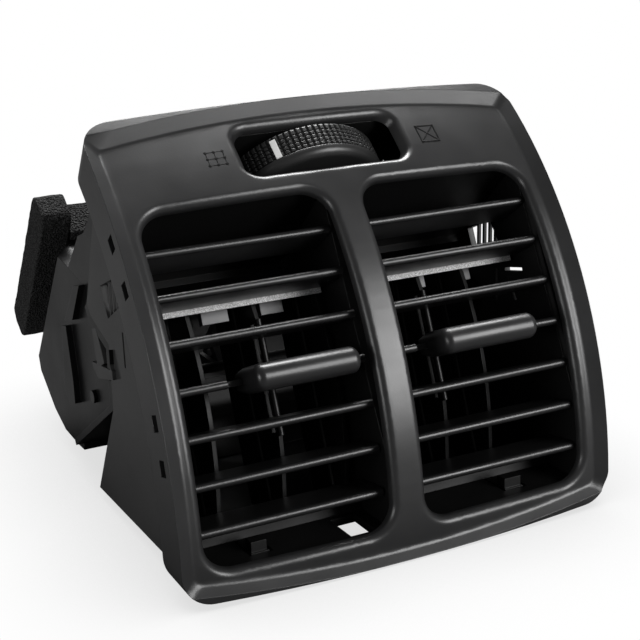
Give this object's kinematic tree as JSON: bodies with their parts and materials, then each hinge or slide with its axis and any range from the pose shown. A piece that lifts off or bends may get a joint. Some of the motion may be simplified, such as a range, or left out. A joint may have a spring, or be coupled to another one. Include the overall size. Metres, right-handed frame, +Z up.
{
  "type": "rear air vent",
  "caption": "Rear console air vent with two louvred outlets, sliding knobs, a thumbwheel shut-off flap and a rear duct",
  "frame": {"origin": "on the face at its lowest edge, in the middle between the two sides", "axes": "+X to the right seen from the cabin, -Y towards the cabin, +Z up"},
  "size_m": [0.136, 0.1682, 0.1197],
  "materials": {
    "bezel": "piano_black",
    "foam_sheet": "foam",
    "housing": "fine grain",
    "inner_plastic": "satin",
    "knob_plastic": "satin",
    "neck_gasket": "foam",
    "rail_plastic": "plain",
    "rear_duct": "fine grain",
    "slat_plastic": "satin",
    "steel_pin": "plain",
    "vane_plastic": "satin",
    "wheel_plastic": "satin",
    "white_print": "plain"
  },
  "bodies": {
    "case": {"bezel": "bezel", "housing": "housing", "rear_duct": "rear_duct", "neck_gasket": "neck_gasket", "upper_cover": "inner_plastic", "wheel_axle": "steel_pin", "flap_axle": "steel_pin", "left_upper_rail": "rail_plastic", "left_lower_rail": "rail_plastic", "right_upper_rail": "rail_plastic", "right_lower_rail": "rail_plastic"},
    "left_slat_1_body": {"left_slat_1": "slat_plastic"},
    "left_slat_2_body": {"left_slat_2": "slat_plastic"},
    "left_slat_3_body": {"left_slat_3": "slat_plastic"},
    "left_slat_4_body": {"left_slat_4": "slat_plastic"},
    "left_slat_5_body": {"left_slat_5": "slat_plastic"},
    "left_slat_6_body": {"left_slat_6": "slat_plastic"},
    "left_slat_7_body": {"left_slat_7": "slat_plastic"},
    "left_slat_link_body": {"left_slat_link": "slat_plastic"},
    "left_knob_body": {"left_knob": "knob_plastic"},
    "left_vane_1_body": {"left_vane_1": "vane_plastic"},
    "left_vane_2_body": {"left_vane_2": "vane_plastic"},
    "left_vane_3_body": {"left_vane_3": "vane_plastic"},
    "left_vane_link_body": {"left_vane_link": "vane_plastic"},
    "right_slat_1_body": {"right_slat_1": "slat_plastic"},
    "right_slat_2_body": {"right_slat_2": "slat_plastic"},
    "right_slat_3_body": {"right_slat_3": "slat_plastic"},
    "right_slat_4_body": {"right_slat_4": "slat_plastic"},
    "right_slat_5_body": {"right_slat_5": "slat_plastic"},
    "right_slat_6_body": {"right_slat_6": "slat_plastic"},
    "right_slat_7_body": {"right_slat_7": "slat_plastic"},
    "right_slat_link_body": {"right_slat_link": "slat_plastic"},
    "right_knob_body": {"right_knob": "knob_plastic"},
    "right_vane_1_body": {"right_vane_1": "vane_plastic"},
    "right_vane_2_body": {"right_vane_2": "vane_plastic"},
    "right_vane_3_body": {"right_vane_3": "vane_plastic"},
    "right_vane_link_body": {"right_vane_link": "vane_plastic"},
    "thumbwheel_body": {"thumbwheel": "wheel_plastic", "wheel_marker": "white_print"},
    "control_rod_body": {"control_rod": "inner_plastic"},
    "flap_body": {"flap": "inner_plastic", "flap_seal": "foam_sheet"}
  },
  "joints": [
    {"name": "left_slat_1_tilt", "type": "hinge", "parent": "case", "child": "left_slat_1_body", "pos_m": [-0.03245, 0.04091, 0.07999], "axis": [1, 0, 0], "range_deg": [-25, 25]},
    {"name": "left_slat_2_tilt", "type": "hinge", "parent": "case", "child": "left_slat_2_body", "pos_m": [-0.03245, 0.03375, 0.07026], "axis": [1, 0, 0], "range_deg": [-25, 25]},
    {"name": "left_slat_3_tilt", "type": "hinge", "parent": "case", "child": "left_slat_3_body", "pos_m": [-0.03245, 0.02754, 0.0599], "axis": [1, 0, 0], "range_deg": [-25, 25]},
    {"name": "left_slat_4_tilt", "type": "hinge", "parent": "case", "child": "left_slat_4_body", "pos_m": [-0.03245, 0.02235, 0.04899], "axis": [1, 0, 0], "range_deg": [-25, 25]},
    {"name": "left_slat_5_tilt", "type": "hinge", "parent": "case", "child": "left_slat_5_body", "pos_m": [-0.03245, 0.01822, 0.03764], "axis": [1, 0, 0], "range_deg": [-25, 25]},
    {"name": "left_slat_6_tilt", "type": "hinge", "parent": "case", "child": "left_slat_6_body", "pos_m": [-0.03245, 0.01518, 0.02595], "axis": [1, 0, 0], "range_deg": [-25, 25]},
    {"name": "left_slat_7_tilt", "type": "hinge", "parent": "case", "child": "left_slat_7_body", "pos_m": [-0.03245, 0.01328, 0.01402], "axis": [1, 0, 0], "range_deg": [-25, 25]},
    {"name": "left_slat_link_turn", "type": "hinge", "parent": "left_slat_4_body", "child": "left_slat_link_body", "pos_m": [-0.059, 0.02787, 0.04665], "axis": [1, 0, 0], "range_deg": [-25, 25]},
    {"name": "left_knob_slide", "type": "slide", "parent": "left_slat_4_body", "child": "left_knob_body", "axis": [1, 0, 0], "range_m": [-0.0052, 0]},
    {"name": "left_vane_1_turn", "type": "hinge", "parent": "case", "child": "left_vane_1_body", "pos_m": [-0.0492, 0.04173, 0.04142], "axis": [0, 0.3907, 0.9205], "range_deg": [-27.6, 0]},
    {"name": "left_vane_2_turn", "type": "hinge", "parent": "case", "child": "left_vane_2_body", "pos_m": [-0.0292, 0.04173, 0.04142], "axis": [0, 0.3907, 0.9205], "range_deg": [-27.6, 0]},
    {"name": "left_vane_3_turn", "type": "hinge", "parent": "case", "child": "left_vane_3_body", "pos_m": [-0.0092, 0.04173, 0.04142], "axis": [0, 0.3907, 0.9205], "range_deg": [-27.6, 0]},
    {"name": "left_vane_link_turn", "type": "hinge", "parent": "left_vane_2_body", "child": "left_vane_link_body", "pos_m": [-0.03104, 0.03454, 0.00536], "axis": [0, 0.3907, 0.9205], "range_deg": [0, 27.6]},
    {"name": "right_slat_1_tilt", "type": "hinge", "parent": "case", "child": "right_slat_1_body", "pos_m": [0.03245, 0.04091, 0.07999], "axis": [1, 0, 0], "range_deg": [-25, 25]},
    {"name": "right_slat_2_tilt", "type": "hinge", "parent": "case", "child": "right_slat_2_body", "pos_m": [0.03245, 0.03375, 0.07026], "axis": [1, 0, 0], "range_deg": [-25, 25]},
    {"name": "right_slat_3_tilt", "type": "hinge", "parent": "case", "child": "right_slat_3_body", "pos_m": [0.03245, 0.02754, 0.0599], "axis": [1, 0, 0], "range_deg": [-25, 25]},
    {"name": "right_slat_4_tilt", "type": "hinge", "parent": "case", "child": "right_slat_4_body", "pos_m": [0.03245, 0.02235, 0.04899], "axis": [1, 0, 0], "range_deg": [-25, 25]},
    {"name": "right_slat_5_tilt", "type": "hinge", "parent": "case", "child": "right_slat_5_body", "pos_m": [0.03245, 0.01822, 0.03764], "axis": [1, 0, 0], "range_deg": [-25, 25]},
    {"name": "right_slat_6_tilt", "type": "hinge", "parent": "case", "child": "right_slat_6_body", "pos_m": [0.03245, 0.01518, 0.02595], "axis": [1, 0, 0], "range_deg": [-25, 25]},
    {"name": "right_slat_7_tilt", "type": "hinge", "parent": "case", "child": "right_slat_7_body", "pos_m": [0.03245, 0.01328, 0.01402], "axis": [1, 0, 0], "range_deg": [-25, 25]},
    {"name": "right_slat_link_turn", "type": "hinge", "parent": "right_slat_4_body", "child": "right_slat_link_body", "pos_m": [0.0059, 0.02787, 0.04665], "axis": [1, 0, 0], "range_deg": [-25, 25]},
    {"name": "right_knob_slide", "type": "slide", "parent": "right_slat_4_body", "child": "right_knob_body", "axis": [1, 0, 0], "range_m": [-0.0052, 0]},
    {"name": "right_vane_1_turn", "type": "hinge", "parent": "case", "child": "right_vane_1_body", "pos_m": [0.009, 0.04173, 0.04142], "axis": [0, 0.3907, 0.9205], "range_deg": [-27.6, 0]},
    {"name": "right_vane_2_turn", "type": "hinge", "parent": "case", "child": "right_vane_2_body", "pos_m": [0.0243, 0.04173, 0.04142], "axis": [0, 0.3907, 0.9205], "range_deg": [-27.6, 0]},
    {"name": "right_vane_3_turn", "type": "hinge", "parent": "case", "child": "right_vane_3_body", "pos_m": [0.0396, 0.04173, 0.04142], "axis": [0, 0.3907, 0.9205], "range_deg": [-27.6, 0]},
    {"name": "right_vane_link_turn", "type": "hinge", "parent": "right_vane_2_body", "child": "right_vane_link_body", "pos_m": [0.02246, 0.03454, 0.00536], "axis": [0, 0.3907, 0.9205], "range_deg": [0, 27.6]},
    {"name": "thumbwheel_turn", "type": "hinge", "parent": "case", "child": "thumbwheel_body", "pos_m": [0, 0.0644, 0.08739], "axis": [0, 0.7593, 0.6508], "range_deg": [0, 64]},
    {"name": "control_rod_slide", "type": "slide", "parent": "case", "child": "control_rod_body", "axis": [0, -0.6508, 0.7593], "range_m": [0, 0.01697]},
    {"name": "flap_turn", "type": "hinge", "parent": "case", "child": "flap_body", "pos_m": [0, 0.08615, 0.0282], "axis": [1, 0, 0], "range_deg": [0, 81.6]}
  ],
  "couplings": [
    {"joint": "left_slat_1_tilt", "follows": "left_slat_4_tilt", "ratio": 1},
    {"joint": "left_slat_2_tilt", "follows": "left_slat_4_tilt", "ratio": 1},
    {"joint": "left_slat_3_tilt", "follows": "left_slat_4_tilt", "ratio": 1},
    {"joint": "left_slat_5_tilt", "follows": "left_slat_4_tilt", "ratio": 1},
    {"joint": "left_slat_6_tilt", "follows": "left_slat_4_tilt", "ratio": 1},
    {"joint": "left_slat_7_tilt", "follows": "left_slat_4_tilt", "ratio": 1},
    {"joint": "left_slat_link_turn", "follows": "left_slat_4_tilt", "ratio": -1},
    {"joint": "left_vane_1_turn", "follows": "left_knob_slide", "rad_per_m": 92.5},
    {"joint": "left_vane_2_turn", "follows": "left_knob_slide", "rad_per_m": 92.5},
    {"joint": "left_vane_3_turn", "follows": "left_knob_slide", "rad_per_m": 92.5},
    {"joint": "left_vane_link_turn", "follows": "left_knob_slide", "rad_per_m": -92.5},
    {"joint": "right_slat_1_tilt", "follows": "right_slat_4_tilt", "ratio": 1},
    {"joint": "right_slat_2_tilt", "follows": "right_slat_4_tilt", "ratio": 1},
    {"joint": "right_slat_3_tilt", "follows": "right_slat_4_tilt", "ratio": 1},
    {"joint": "right_slat_5_tilt", "follows": "right_slat_4_tilt", "ratio": 1},
    {"joint": "right_slat_6_tilt", "follows": "right_slat_4_tilt", "ratio": 1},
    {"joint": "right_slat_7_tilt", "follows": "right_slat_4_tilt", "ratio": 1},
    {"joint": "right_slat_link_turn", "follows": "right_slat_4_tilt", "ratio": -1},
    {"joint": "right_vane_1_turn", "follows": "right_knob_slide", "rad_per_m": 92.5},
    {"joint": "right_vane_2_turn", "follows": "right_knob_slide", "rad_per_m": 92.5},
    {"joint": "right_vane_3_turn", "follows": "right_knob_slide", "rad_per_m": 92.5},
    {"joint": "right_vane_link_turn", "follows": "right_knob_slide", "rad_per_m": -92.5},
    {"joint": "control_rod_slide", "follows": "thumbwheel_turn", "m_per_rad": 0.015181},
    {"joint": "flap_turn", "follows": "thumbwheel_turn", "ratio": 1.275}
  ]
}
